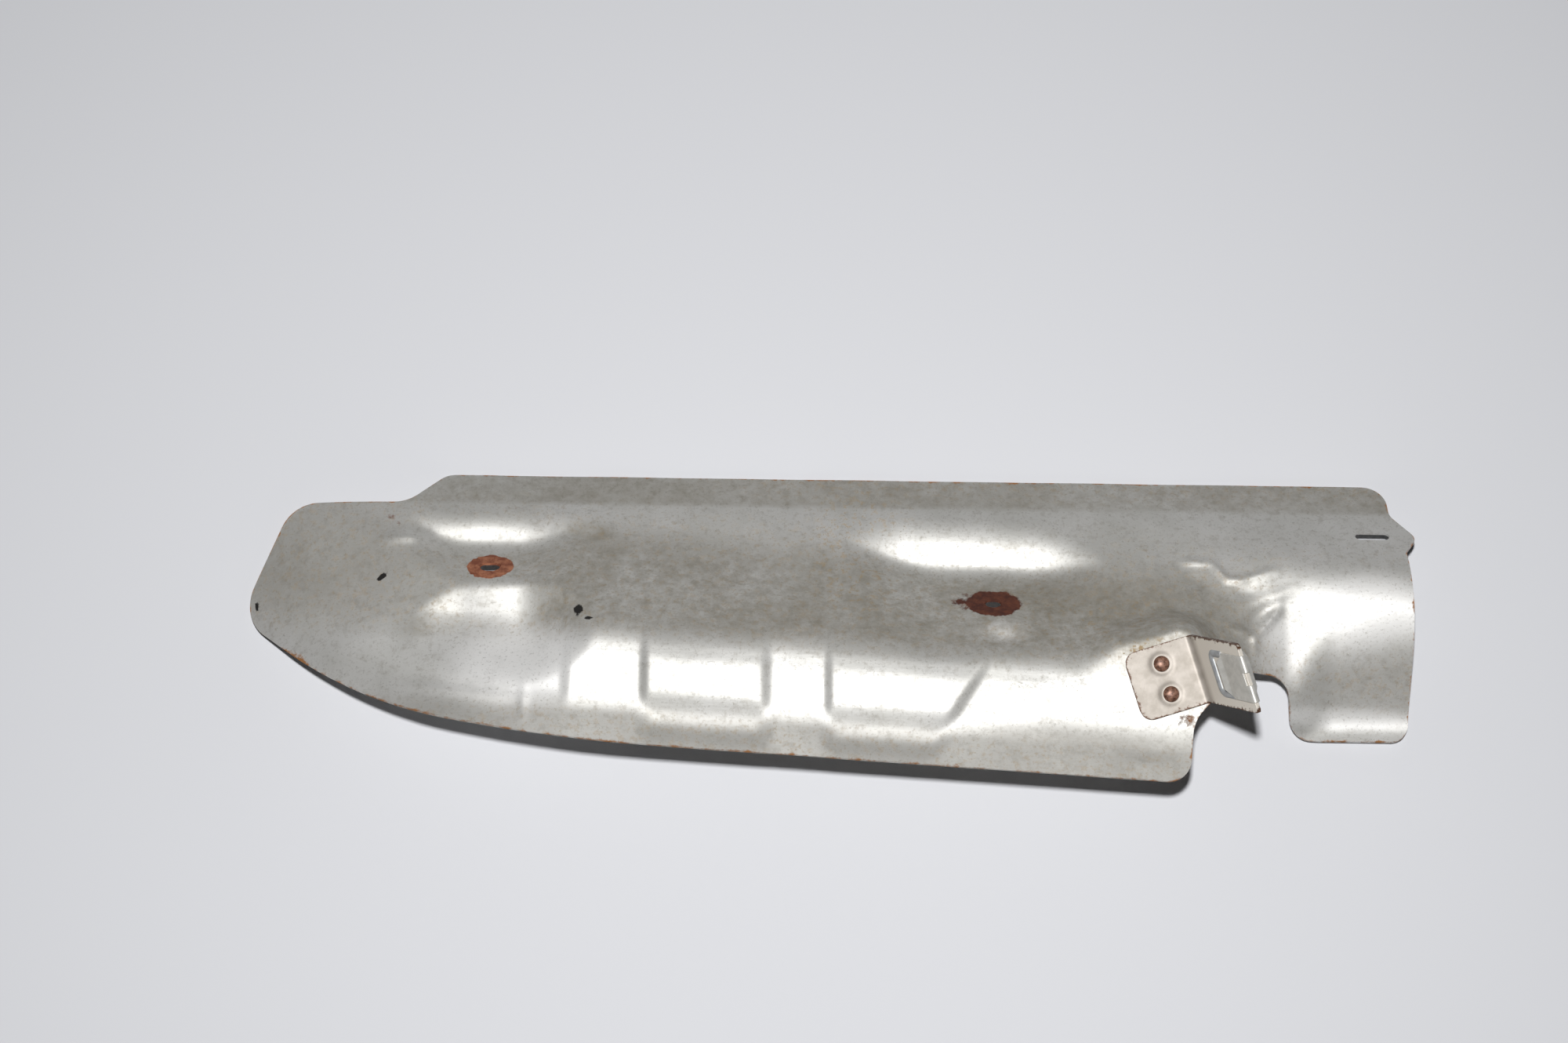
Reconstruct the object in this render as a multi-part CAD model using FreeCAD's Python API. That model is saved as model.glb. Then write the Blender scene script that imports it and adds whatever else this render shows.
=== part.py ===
import FreeCAD, Part
import math
import os

# Pressed heat shield of a family car: one stamped sheet, a folded bracket held on it
# by two rivets, and a spring clip pushed over the end of the bracket.
# Millimetres. x runs along the straight back edge, s is measured from the back edge
# towards the front lip, z is up from the ground the shield rests on. In the model y = -s.

os.makedirs("parts", exist_ok=True)

# Sheet
sheet = 1.0                 # thickness of the stamped sheet
half_length = 221.5         # from the middle of the length to the nose and to the tail end

# Back wall: three straight bands that climb from the back edge to the shoulder
band_slope = math.tan(math.radians(32.0))
band_width = 14.0           # from the back edge to the first crease
wall_slope = math.tan(math.radians(23.0))
wall_width = 26.0           # from the first crease to the foot of the steep band
steep_slope = math.tan(math.radians(36.5))
skew = 0.058                # the shoulder and the lip run askew to the back edge
crease_soft = 1.5           # height over which the first crease is rounded
steep_soft = 3.0            # height over which the foot of the steep band is rounded

# Front face behind the lip
face_s = 95.0               # where the face height is given
face_z = 44.5
face_fall = 0.158           # the face falls to the front
face_crown = 0.006          # the face is slightly crowned
crown_back = 12.0           # reach of the crown behind and in front of face_s
crown_front = 10.0
shoulder_soft = 11.0        # height over which the shoulder is rounded

# Raised pads on the front face
pad_rise = 1.8
pad_front = 103.2           # middle of the front end wall of a pad
pad_wall = 4.4              # width of a pad's end wall in plan
pad_a_left = -67.0
pad_a_right = -22.3
pad_b_left = 0.5
pad_b_right = 48.0
pad_b_slant = 0.62          # the right side of the second pad runs at a slant
pad_side = 4.5              # width of a pad's side wall in plan

# Upturned lip along the front
lip_crease = 106.5          # where the face turns up into the lip
lip_turn = 0.43             # change of slope at that crease
lip_round = 3.0             # half the width of the rounded crease
lip_curve_start = -100.0    # left of here the crease follows the curved nose
lip_curve = 0.0031

# Nose: a hollow side of the face, then a steep end that comes down to the ground
nose_step_x = -96.0         # step between the front face and the nose
nose_step_width = 4.5
nose_x = -125.0
nose_s = 65.0
nose_z = 33.0
nose_rise_s = 0.22
nose_rise_x = 0.25
nose_soft = 6.0
bulge_rise = 4.0            # swelling of the nose beside the step
bulge_x = -114.0
bulge_s = 73.0
bulge_long = 20.0
bulge_wide = 15.0
end_slope = 0.66
end_x = -half_length - 0.5  # the steep end reaches the ground here
end_soft = 12.0

# Bolt seats pressed into the back wall: a ledge, then a flat seat at 45 degrees
seat_slope = 1.0
ledge_slope = -0.2
nose_hole_x = -127.4
nose_hole_s = 41.5
nose_seat_z = 20.5
nose_ledge_z = 10.7
nose_ledge_s = 30.0
nose_top_z = 27.5           # small shelf above the nose seat
nose_top_s = 50.0
nose_top_slope = -0.12
nose_top_end = 60.0         # past here the shelf turns up again
nose_top_curve = 0.05
nose_wing_x = -136.0        # the nose ledge reaches further than its seat
nose_wing_half = 19.0
nose_wing_bowl = 0.012
nose_seat_half = 9.0
nose_seat_bowl = 0.02       # how fast the seat runs out sideways
nose_hole_d = 8.4
mid_hole_x = 62.0
mid_hole_s = 54.0
mid_seat_z = 24.2
mid_ledge_z = 12.6
mid_ledge_s = 34.0
mid_seat_half = 16.0
mid_seat_shift = -4.0       # the seat reaches further to the left than to the right
mid_seat_bowl = 0.012
mid_wing_x = 52.0           # the middle ledge reaches further than its seat
mid_wing_half = 20.0
mid_wing_bowl = 0.009
mid_hole_d = 6.4
seat_soft = 3.0             # height over which the seat edges are rounded

# Tail: a shell of half-round section with a flat tab along the front
tail_back = 0.62
tail_front = 0.74
tail_foot = 91.4
tail_crest_z = 23.6         # the crest is nearly flat and falls to the front
tail_crest_s = 52.0
tail_crest_fall = 0.2
tail_back_soft = 11.0
tail_front_soft = 9.0
tail_flare = 12.0           # the front of the shell spreads towards the notch
tail_flare_x = 181.0
tail_flare_width = 22.0
tail_start = 134.0          # the neck between body and tail
tail_end = 176.0
tab_rise = 0.35
tab_soft = 2.0
tab_drop = 0.5              # the tab bend lies this far below the back edge line

# Slot in the ear of the tail
slot_x = half_length - 14.5
slot_s = 23.4
slot_length = 13.0
slot_width = 5.4

# Outline corners in plan: x, s and corner radius
outline = [
    (74.0 - half_length, 0.0, 8.0),
    (60.0 - half_length, 13.0, 10.0),
    (15.0 - half_length, 12.8, 10.0),
    (-3.0 - half_length, 58.0, 14.0),
    (49.5 - half_length, 97.0, 170.0),
    (126.5 - half_length, 111.6, 400.0),
    (131.6, 124.8, 9.0),
    (133.6, 101.5, 14.0),
    (154.5, 79.2, 12.0),
    (172.8, 79.0, 8.0),
    (175.6, 100.4, 8.5),
    (half_length - 1.0, 100.4, 7.0),
    (half_length - 2.6, 30.4, 1.5),
    (half_length + 2.4, 24.4, 3.5),
    (half_length - 6.5, 13.6, 5.0),
    (half_length - 6.5, 0.0, 8.5),
]

# Grid of the skin surfaces, wider than the outline: where each patch starts, and the
# spacing of its knots, close where the sheet is pressed and wide where it is plain
skin_x = [
    (-half_length - 8.0, 16.0),
    (-150.0, 7.6),
    (-104.0, 15.0),
    (-74.0, 5.0),
    (-59.0, 14.5),
    (-30.0, 5.0),
    (-15.0, 5.0),
    (8.0, 16.0),
    (40.0, 11.0),
    (84.0, 13.0),
    (110.0, 15.0),
    (140.0, 19.0),
    (178.0, 26.0),
]
skin_x_end = half_length + 8.0
skin_s = [
    (-6.0, 14.0),
    (20.0, 7.7),
    (66.0, 10.7),
    (98.0, 8.0),
    (114.0, 9.0),
]
skin_s_end = 132.0
trim_depth = 200.0          # height of the tools that trim the sheet

# Bracket: a foot on the flat land of the front face and an upright folded up from it
bracket_sheet = 1.5
land_x = 122.6              # middle of the foot in plan
land_s = 87.0
land_turn = 18.0            # degrees, from the x axis towards the back edge
land_margin = 2.0           # flat kept round the foot
land_fade = 9.0             # width over which the land runs out
foot_length = 24.0
foot_width = 25.6
foot_corner = 4.5
fold_radius = 2.0           # inside radius of the fold
upright_angle = 68.0        # degrees between foot and upright
upright_length = 35.0
upright_lean = 15.0         # degrees, the upright leans to the front as it rises
rib_height = 0.8            # pressed frame on the upright, open towards the clip
rib_width = 2.6
rib_outer = 18.6
rib_start = 11.5
rib_length = 9.0

# Rivets through foot and land
rivet_along = 0.6           # from the middle of the foot towards the fold
rivet_pitch = 11.5
rivet_clear = 0.05          # gap all round the shank in its holes
rivet_head_d = 5.8
rivet_head_h = 1.6
rivet_crown = 0.62          # the head narrows to this part of its width
rivet_shank_d = 3.2
rivet_tail_d = 5.0
rivet_tail_h = 1.2

# Spring clip over the end of the upright
clip_sheet = 0.7
clip_width = 17.6
clip_front = 13.0           # length of the front leg
clip_chamfer = 3.6
clip_flare = 20.0           # degrees, the lower end of the front leg stands off
clip_flare_length = 3.0
clip_window = 4.6           # opening between the two straps of the bend
clip_rear = 7.0             # straight part of the rear leg
clip_rear_flare = 58.0      # degrees, the rear leg is bent out for entry
clip_rear_lip = 8.5


def soft_min(a, b, soft):
    """Lower of two heights, rounded where they are within soft of each other."""
    near = max(soft - abs(a - b), 0.0) / soft
    return min(a, b) - near * near * soft / 4.0


def soft_max(a, b, soft):
    """Higher of two heights, rounded in the same way."""
    return -soft_min(-a, -b, soft)


def ramp(value, middle, width):
    """Smooth climb from 0 to 1 about middle, over the given width."""
    u = (value - middle) / width + 0.5
    u = min(max(u, 0.0), 1.0)
    return u * u * (3.0 - 2.0 * u)


def turn_up(past, half):
    """Zero before a crease and the distance past it after, rounded over half each way."""
    if past < -half:
        return 0.0
    if past > half:
        return past
    return (past + half) ** 2 / (4.0 * half)


def body_height(x, s):
    """Back wall, front face with its pads, lip and nose, before the seats."""
    q = s - skew * x
    crease_z = band_width * band_slope
    steep_z = crease_z + wall_width * wall_slope
    band = s * band_slope
    middle = crease_z + (s - band_width) * wall_slope
    steep = steep_z + (q - band_width - wall_width) * steep_slope
    wall = soft_max(soft_min(band, middle, crease_soft), steep, steep_soft)
    pad_a = ramp(x, pad_a_left, pad_side) * (1.0 - ramp(x, pad_a_right, pad_side))
    slanted = x + pad_b_slant * (q - face_s)
    pad_b = ramp(x, pad_b_left, pad_side) * (1.0 - ramp(slanted, pad_b_right, pad_side))
    pads = max(pad_a, pad_b) * (1.0 - ramp(q, pad_front, pad_wall))
    crown = min(max(q - face_s, -crown_back), crown_front)
    front = face_z - (q - face_s) * face_fall - face_crown * crown ** 2
    far_x = (x - bulge_x) / bulge_long
    far_s = (s - bulge_s) / bulge_wide
    bulge = bulge_rise * math.exp(-far_x ** 2 - far_s ** 2)
    nose = nose_z + nose_rise_s * (s - nose_s) + nose_rise_x * (x - nose_x) + bulge
    nose = soft_min(nose, front, nose_soft)
    past_step = ramp(x, nose_step_x, nose_step_width)
    face = past_step * (front + pad_rise * pads) + (1.0 - past_step) * nose
    crease = lip_crease - lip_curve * max(0.0, lip_curve_start - x) ** 2
    face = face + lip_turn * turn_up(q - crease, lip_round)
    z = soft_min(wall, face, shoulder_soft)
    return soft_min(z, (x - end_x) * end_slope, end_soft)


def press_seats(z, x, s):
    """Lower the wall to the two bolt seats and the ledges behind them."""
    seat = nose_seat_z + (s - nose_hole_s) * seat_slope
    ledge = nose_ledge_z + (s - nose_ledge_s) * ledge_slope
    past_top = max(s - nose_top_end, 0.0)
    top = nose_top_z + (s - nose_top_s) * nose_top_slope + nose_top_curve * past_top ** 2
    bowl = nose_seat_bowl * max(abs(x - nose_hole_x) - nose_seat_half, 0.0) ** 2
    wing = nose_wing_bowl * max(abs(x - nose_wing_x) - nose_wing_half, 0.0) ** 2
    recess = soft_max(seat + bowl, ledge + wing, seat_soft)
    z = soft_min(z, soft_min(recess, top + bowl, seat_soft), seat_soft)
    seat = mid_seat_z + (s - mid_hole_s) * seat_slope
    ledge = mid_ledge_z + (s - mid_ledge_s) * ledge_slope
    off = abs(x - mid_hole_x - mid_seat_shift)
    bowl = mid_seat_bowl * max(off - mid_seat_half, 0.0) ** 2
    wing = mid_wing_bowl * max(abs(x - mid_wing_x) - mid_wing_half, 0.0) ** 2
    recess = soft_max(seat + bowl, ledge + wing, seat_soft)
    return soft_min(z, recess, seat_soft)


def tail_height(x, s):
    """Rounded shell of the tail and its tab."""
    flare = tail_flare * (1.0 - ramp(x, tail_flare_x, tail_flare_width))
    crest = tail_crest_z - (s - tail_crest_s) * tail_crest_fall
    shell = soft_min(tail_back * s, crest, tail_back_soft)
    shell = soft_min(shell, (tail_foot + flare - s) * tail_front, tail_front_soft)
    tab = (s - tail_foot) * tab_rise - tab_drop
    return soft_max(shell, tab, tab_soft)


def land_height(x, s):
    """Plane of the front face under the bracket foot."""
    q = s - skew * x
    return face_z - (q - face_s) * face_fall


def foot_place(x, s):
    """Distances along and across the foot from its middle."""
    turn = math.radians(land_turn)
    dx = x - land_x
    dy = land_s - s
    along = dx * math.cos(turn) + dy * math.sin(turn)
    across = dy * math.cos(turn) - dx * math.sin(turn)
    return along, across


def height(x, s):
    """Height of the upper skin."""
    z = press_seats(body_height(x, s), x, s)
    to_tail = ramp(x, (tail_start + tail_end) / 2.0, tail_end - tail_start)
    z = (1.0 - to_tail) * z + to_tail * tail_height(x, s)
    along, across = foot_place(x, s)
    past_along = abs(along) - foot_length / 2.0 - land_margin
    past_across = abs(across) - foot_width / 2.0 - land_margin
    flat = 1.0 - ramp(max(past_along, past_across), land_fade / 2.0, land_fade)
    return (1.0 - flat) * z + flat * land_height(x, s)


def under_height(x, s):
    """Height of the lower skin, one sheet thickness away at right angles to the skin."""
    step = 0.5
    slope_x = (height(x + step, s) - height(x - step, s)) / (2.0 * step)
    slope_s = (height(x, s + step) - height(x, s - step)) / (2.0 * step)
    return height(x, s) - sheet * math.sqrt(1.0 + slope_x ** 2 + slope_s ** 2)


def knots_and_cuts(zones, end):
    """Knots of a row of patches and the lines between the patches."""
    cuts = [start for start, spacing in zones] + [end]
    knots = [cuts[0]]
    for (start, spacing), stop in zip(zones, cuts[1:]):
        count = int(round((stop - start) / spacing))
        for i in range(count):
            knots.append(start + (stop - start) * (i + 1) / count)
    return knots, cuts


def pole_places(knots):
    """Where the poles of a cubic spline lie so that x and y stay its parameters."""
    full = [knots[0]] * 3 + knots + [knots[-1]] * 3
    return [sum(full[i + 1:i + 4]) / 3.0 for i in range(len(full) - 4)]


def skin(height_of, knots_x, knots_y):
    """Cubic surface over the whole grid whose poles lie on the given height."""
    places_y = pole_places(knots_y)
    poles = []
    for x in pole_places(knots_x):
        row = [FreeCAD.Vector(x, y, height_of(x, -y)) for y in places_y]
        poles.append(row)
    mults_x = [4] + [1] * (len(knots_x) - 2) + [4]
    mults_y = [4] + [1] * (len(knots_y) - 2) + [4]
    surface = Part.BSplineSurface()
    surface.buildFromPolesMultsKnots(poles, mults_x, mults_y, knots_x, knots_y, False, False, 3, 3)
    return surface


def sheet_block():
    """Solid between the two skins over the whole grid, each skin in smooth patches."""
    knots_x, cuts_x = knots_and_cuts(skin_x, skin_x_end)
    knots_s, cuts_s = knots_and_cuts(skin_s, skin_s_end)
    knots_y = [-s for s in reversed(knots_s)]
    cuts_y = [-s for s in reversed(cuts_s)]
    top = skin(height, knots_x, knots_y)
    under = skin(under_height, knots_x, knots_y)
    faces = []
    for x0, x1 in zip(cuts_x, cuts_x[1:]):
        for y0, y1 in zip(cuts_y, cuts_y[1:]):
            pair = []
            for surface in (top, under):
                patch = surface.copy()
                patch.segment(x0, x1, y0, y1)
                faces.append(patch.toShape())
                pair.append(patch)
            rims = []
            if x0 == cuts_x[0]:
                rims.append([patch.uIso(x0) for patch in pair])
            if x1 == cuts_x[-1]:
                rims.append([patch.uIso(x1) for patch in pair])
            if y0 == cuts_y[0]:
                rims.append([patch.vIso(y0) for patch in pair])
            if y1 == cuts_y[-1]:
                rims.append([patch.vIso(y1) for patch in pair])
            for upper, lower in rims:
                faces.append(Part.makeRuledSurface(upper.toShape(), lower.toShape()))
    return Part.Solid(Part.Shell(faces))


def rounded_loop(corners):
    """Closed wire of straight lines and arcs through corners given as x, s and radius."""
    edges = []
    starts = []
    ends = []
    middles = []
    count = len(corners)
    points = [FreeCAD.Vector(x, -s, 0) for x, s, radius in corners]
    for i in range(count):
        radius = corners[i][2]
        back = (points[i - 1] - points[i]).normalize()
        on = (points[(i + 1) % count] - points[i]).normalize()
        half = back.getAngle(on) / 2.0
        reach = radius / math.tan(half)
        starts.append(points[i] + back * reach)
        ends.append(points[i] + on * reach)
        middles.append(points[i] + (back + on).normalize() * (radius / math.sin(half) - radius))
    for i in range(count):
        if corners[i][2] > 0:
            edges.append(Part.Arc(starts[i], middles[i], ends[i]).toShape())
        edges.append(Part.makeLine(ends[i], starts[(i + 1) % count]))
    return Part.Wire(edges)


def polygon_solid(points, direction):
    """Prism of a closed polygon pushed along direction."""
    face = Part.Face(Part.makePolygon(points + [points[0]]))
    return face.extrude(direction)


def drill(centre, axis, diameter):
    """Round tool through the sheet along axis."""
    start = centre - axis * (trim_depth / 20.0)
    return Part.makeCylinder(diameter / 2.0, trim_depth / 10.0, start, axis)


def seat_axis(slope):
    """Direction at right angles to a face that climbs to the front with this slope."""
    return FreeCAD.Vector(0, slope, 1).normalize()


def slot_tool():
    """Long hole along x, at right angles to the back wall of the tail."""
    axis = seat_axis(tail_back)
    middle = FreeCAD.Vector(slot_x, -slot_s, height(slot_x, slot_s))
    half = FreeCAD.Vector((slot_length - slot_width) / 2.0, 0, 0)
    left = drill(middle - half, axis, slot_width)
    right = drill(middle + half, axis, slot_width)
    side = axis.cross(FreeCAD.Vector(1, 0, 0)) * (slot_width / 2.0)
    low = middle - axis * (trim_depth / 20.0)
    corners = [low - half - side, low + half - side, low + half + side, low - half + side]
    between = polygon_solid(corners, axis * (trim_depth / 10.0))
    return left.fuse(right).fuse(between)


def land_frame():
    """Placement with its origin in the middle of the foot's seat, x along the foot."""
    turn = math.radians(land_turn)
    normal = FreeCAD.Vector(-skew * face_fall, -face_fall, 1).normalize()
    along = FreeCAD.Vector(math.cos(turn), math.sin(turn), 0)
    along = (along - normal * along.dot(normal)).normalize()
    across = normal.cross(along)
    origin = FreeCAD.Vector(land_x, -land_s, land_height(land_x, land_s))
    turned = FreeCAD.Rotation(along, across, normal, "ZXY")
    return FreeCAD.Placement(origin, turned)


def rivet_places():
    half = rivet_pitch / 2.0
    return [FreeCAD.Vector(rivet_along, side, 0) for side in (-half, half)]


def rivet_holes():
    """Tools for the two rivet holes, in the frame of the land."""
    up = FreeCAD.Vector(0, 0, 1)
    diameter = rivet_shank_d + 2.0 * rivet_clear
    tools = [drill(place, up, diameter) for place in rivet_places()]
    return tools[0].fuse(tools[1])


def make_panel(frame):
    """The stamped sheet: skins trimmed to the outline, then the holes."""
    plan = Part.Face(rounded_loop(outline)).extrude(FreeCAD.Vector(0, 0, trim_depth))
    plan.translate(FreeCAD.Vector(0, 0, -trim_depth / 2.0))
    panel = sheet_block().common(plan)
    nose_hole = FreeCAD.Vector(nose_hole_x, -nose_hole_s, height(nose_hole_x, nose_hole_s))
    mid_hole = FreeCAD.Vector(mid_hole_x, -mid_hole_s, height(mid_hole_x, mid_hole_s))
    panel = panel.cut(drill(nose_hole, seat_axis(seat_slope), nose_hole_d))
    panel = panel.cut(drill(mid_hole, seat_axis(seat_slope), mid_hole_d))
    panel = panel.cut(slot_tool())
    holes = rivet_holes()
    holes.Placement = frame
    return panel.cut(holes).Solids[0]


def upright_point(length, across, off):
    """Point on the upright: up its length, across it and off its inner face."""
    angle = math.radians(upright_angle)
    shifted = across - length * math.tan(math.radians(upright_lean))
    start_u = foot_length / 2.0 + fold_radius * math.sin(angle)
    start_w = bracket_sheet + fold_radius * (1.0 - math.cos(angle))
    u = start_u + length * math.cos(angle) - off * math.sin(angle)
    w = start_w + length * math.sin(angle) + off * math.cos(angle)
    return FreeCAD.Vector(u, shifted, w)


def upright_plate(corners, off, thickness):
    """Flat plate on the upright with corners given as length and across."""
    points = [upright_point(length, across, off) for length, across in corners]
    lift = upright_point(0, 0, thickness) - upright_point(0, 0, 0)
    return polygon_solid(points, lift)


def upright_box(length0, length1, across0, across1, off, thickness):
    corners = [(length0, across0), (length1, across0), (length1, across1), (length0, across1)]
    return upright_plate(corners, off, thickness)


def make_bracket(frame):
    """Foot, fold and upright with its pressed frame."""
    half_l = foot_length / 2.0
    half_w = foot_width / 2.0
    corners = [
        (-half_l, -half_w, foot_corner),
        (half_l, -half_w, 0),
        (half_l, half_w, 0),
        (-half_l, half_w, foot_corner),
    ]
    foot = Part.Face(rounded_loop(corners)).extrude(FreeCAD.Vector(0, 0, bracket_sheet))
    angle = math.radians(upright_angle)
    centre = FreeCAD.Vector(half_l, -half_w, bracket_sheet + fold_radius)
    arcs = []
    for radius in (fold_radius, fold_radius + bracket_sheet):
        points = []
        for part_of in (0.0, 0.5, 1.0):
            turn = angle * part_of
            reach = FreeCAD.Vector(math.sin(turn), 0, -math.cos(turn)) * radius
            points.append(centre + reach)
        arcs.append(points)
    inner, outer = arcs
    edges = [
        Part.Arc(*inner).toShape(),
        Part.makeLine(inner[2], outer[2]),
        Part.Arc(*outer).toShape(),
        Part.makeLine(outer[0], inner[0]),
    ]
    fold = Part.Face(Part.Wire(edges)).extrude(FreeCAD.Vector(0, foot_width, 0))
    upright = upright_box(0, upright_length, -half_w, half_w, -bracket_sheet, bracket_sheet)
    rib_end = rib_start + rib_length
    rib_half = rib_outer / 2.0
    rib_inner = rib_half - rib_width
    ribs = [
        upright_box(rib_start, rib_start + rib_width, -rib_half, rib_half, 0, rib_height),
        upright_box(rib_start, rib_end, -rib_half, -rib_inner, 0, rib_height),
        upright_box(rib_start, rib_end, rib_inner, rib_half, 0, rib_height),
    ]
    bracket = foot.fuse([fold, upright] + ribs).removeSplitter()
    bracket = bracket.cut(rivet_holes())
    bracket.Placement = frame
    return bracket.Solids[0]


def make_rivets(frame):
    """Two rivets: domed head on the foot, closed head under the sheet."""
    rivets = []
    up = FreeCAD.Vector(0, 0, 1)
    head_r = rivet_head_d / 2.0
    for place in rivet_places():
        seat = place + up * bracket_sheet
        head = Part.makeCone(head_r, head_r * rivet_crown, rivet_head_h, seat, up)
        shank = Part.makeCylinder(rivet_shank_d / 2.0, sheet + bracket_sheet, place - up * sheet, up)
        low = place - up * (sheet + rivet_tail_h)
        tail = Part.makeCylinder(rivet_tail_d / 2.0, rivet_tail_h, low, up)
        rivet = head.fuse([shank, tail]).removeSplitter()
        rivet.Placement = frame
        rivets.append(rivet.Solids[0])
    return Part.makeCompound(rivets)


def clip_strip(points):
    """Sheet bent through points given as length and off, across the full clip width."""
    half = clip_width / 2.0
    corners = [upright_point(length, -half, off) for length, off in points]
    wide = upright_point(0, half, 0) - upright_point(0, -half, 0)
    return polygon_solid(corners, wide)


def corner_cut(length, off0, off1, side):
    """Tool that chamfers one lower corner of a leg."""
    half = clip_width / 2.0
    out = 1.0
    corners = [
        (length - out, side * (half + out)),
        (length - out, side * (half - clip_chamfer - out)),
        (length + clip_chamfer + out, side * (half + out)),
    ]
    return upright_plate(corners, off0, off1 - off0)


def make_clip(frame):
    """Spring clip: front leg with a lifted end, bend with a window, flared rear leg."""
    top = upright_length
    back = -bracket_sheet
    front_end = top - clip_front
    flare = math.radians(clip_flare)
    rear = math.radians(clip_rear_flare)
    lift_l = clip_flare_length * math.cos(flare)
    lift_m = clip_flare_length * math.sin(flare)
    skin_l = clip_sheet * math.tan(flare / 2.0)
    lip_l = clip_rear_lip * math.cos(rear)
    lip_m = clip_rear_lip * math.sin(rear)
    rear_l = clip_sheet * math.tan(rear / 2.0)
    rear_end = top - clip_rear
    points = [
        (top, 0),
        (front_end, 0),
        (front_end - lift_l, lift_m),
        (front_end - lift_l + clip_sheet * math.sin(flare), lift_m + clip_sheet * math.cos(flare)),
        (front_end + skin_l, clip_sheet),
        (top + clip_sheet, clip_sheet),
        (top + clip_sheet, back - clip_sheet),
        (rear_end + rear_l, back - clip_sheet),
        (rear_end - lip_l + clip_sheet * math.sin(rear), back - lip_m - clip_sheet * math.cos(rear)),
        (rear_end - lip_l, back - lip_m),
        (rear_end, back),
        (top, back),
    ]
    clip = clip_strip(points)
    half_window = clip_window / 2.0
    tall = 2.0 * clip_sheet
    deep = bracket_sheet + 4.0 * clip_sheet
    window = upright_box(top, top + tall, -half_window, half_window, back - tall, deep)
    clip = clip.cut(window)
    for side in (-1, 1):
        clip = clip.cut(corner_cut(front_end - lift_l, 0, clip_front, side))
        clip = clip.cut(corner_cut(rear_end - lip_l, back - clip_front, back, side))
    clip.Placement = frame
    return clip.Solids[0]


def main():
    frame = land_frame()
    nodes = {
        "shield_panel": make_panel(frame),
        "bracket": make_bracket(frame),
        "rivets": make_rivets(frame),
        "spring_clip": make_clip(frame),
    }
    box = FreeCAD.BoundBox()
    for shape in nodes.values():
        box.add(shape.optimalBoundingBox())
    shift = FreeCAD.Vector(-box.Center.x, -box.Center.y, -box.ZMin)
    for name, shape in nodes.items():
        shape.translate(shift)
        shape.exportStep("parts/" + name + ".step")
    print("shift", shift, "size", box.XLength, box.YLength, box.ZLength)


main()
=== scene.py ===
# %% [markdown]
# # A pressed heat shield
# The object is a stamped sheet of aluminised steel from an engine bay. A folded bracket is riveted to its
# front face, and a small spring clip sits on the end of the bracket. The first cell loads the solids that
# fix every size, and keeps and prints their box.

import math
import bpy
import numpy as np
from mathutils import Matrix, Vector
from mathutils.geometry import delaunay_2d_cdt


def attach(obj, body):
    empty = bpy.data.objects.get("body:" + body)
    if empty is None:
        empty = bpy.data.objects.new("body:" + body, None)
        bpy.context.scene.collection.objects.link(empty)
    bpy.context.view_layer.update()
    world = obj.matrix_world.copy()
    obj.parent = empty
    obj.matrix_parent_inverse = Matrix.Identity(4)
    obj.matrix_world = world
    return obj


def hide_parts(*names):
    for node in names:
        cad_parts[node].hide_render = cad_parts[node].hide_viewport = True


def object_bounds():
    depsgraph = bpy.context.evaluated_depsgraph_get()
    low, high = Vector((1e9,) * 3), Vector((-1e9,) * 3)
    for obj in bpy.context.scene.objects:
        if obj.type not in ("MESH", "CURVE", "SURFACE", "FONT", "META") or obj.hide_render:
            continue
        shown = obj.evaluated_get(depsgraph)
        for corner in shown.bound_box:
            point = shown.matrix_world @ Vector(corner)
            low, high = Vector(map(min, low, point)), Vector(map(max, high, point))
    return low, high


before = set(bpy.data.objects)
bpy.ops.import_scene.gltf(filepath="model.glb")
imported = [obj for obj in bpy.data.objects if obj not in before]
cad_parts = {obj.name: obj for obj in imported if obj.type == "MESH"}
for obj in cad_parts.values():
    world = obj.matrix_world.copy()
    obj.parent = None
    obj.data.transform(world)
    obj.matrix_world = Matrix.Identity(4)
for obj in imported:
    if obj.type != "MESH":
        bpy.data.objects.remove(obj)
cad_low, cad_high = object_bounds()
scene = bpy.context.scene
cad_size = [round(1000 * v, 1) for v in cad_high - cad_low]
print("solids:", sorted(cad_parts), "box:", cad_size, "mm")

# %% [markdown]
# ## Small tools
# A few helpers serve every piece. One turns arrays of points and faces into a mesh
# object with crisp edges where the faces turn sharply. Another adds a shader node
# with its settings and links in one line, so that a material reads like a recipe.
# Colours are written as sRGB hex, as a paint chart gives them, and turned to linear
# light by one function.

# %% Mesh, colour and node helpers
def to_linear(code):
    """Linear RGBA of an sRGB hex colour: the standard curve on each channel."""
    srgb = np.array([int(code[i:i + 2], 16) for i in (1, 3, 5)]) / 255.0
    linear = np.where(srgb <= 0.04045, srgb / 12.92, ((srgb + 0.055) / 1.055) ** 2.4)
    return (*linear.tolist(), 1.0)


def sheet_object(name, points, faces, sharp_angle):
    """Object from points in metres and faces; edges past sharp_angle stay crisp."""
    mesh = bpy.data.meshes.new(name)
    mesh.from_pydata(points, [], faces)
    mesh.polygons.foreach_set("use_smooth", np.ones(len(mesh.polygons), dtype=bool))
    mesh.set_sharp_from_angle(angle=math.radians(sharp_angle))
    mesh.update()
    made = bpy.data.objects.new(name, mesh)
    scene.collection.objects.link(made)
    return made


def new_material(name):
    """Empty node material; returns it with its tree and its output node."""
    material = bpy.data.materials.new(name)
    material.use_nodes = True
    material.node_tree.nodes.clear()
    output = material.node_tree.nodes.new("ShaderNodeOutputMaterial")
    return material, material.node_tree, output


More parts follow.
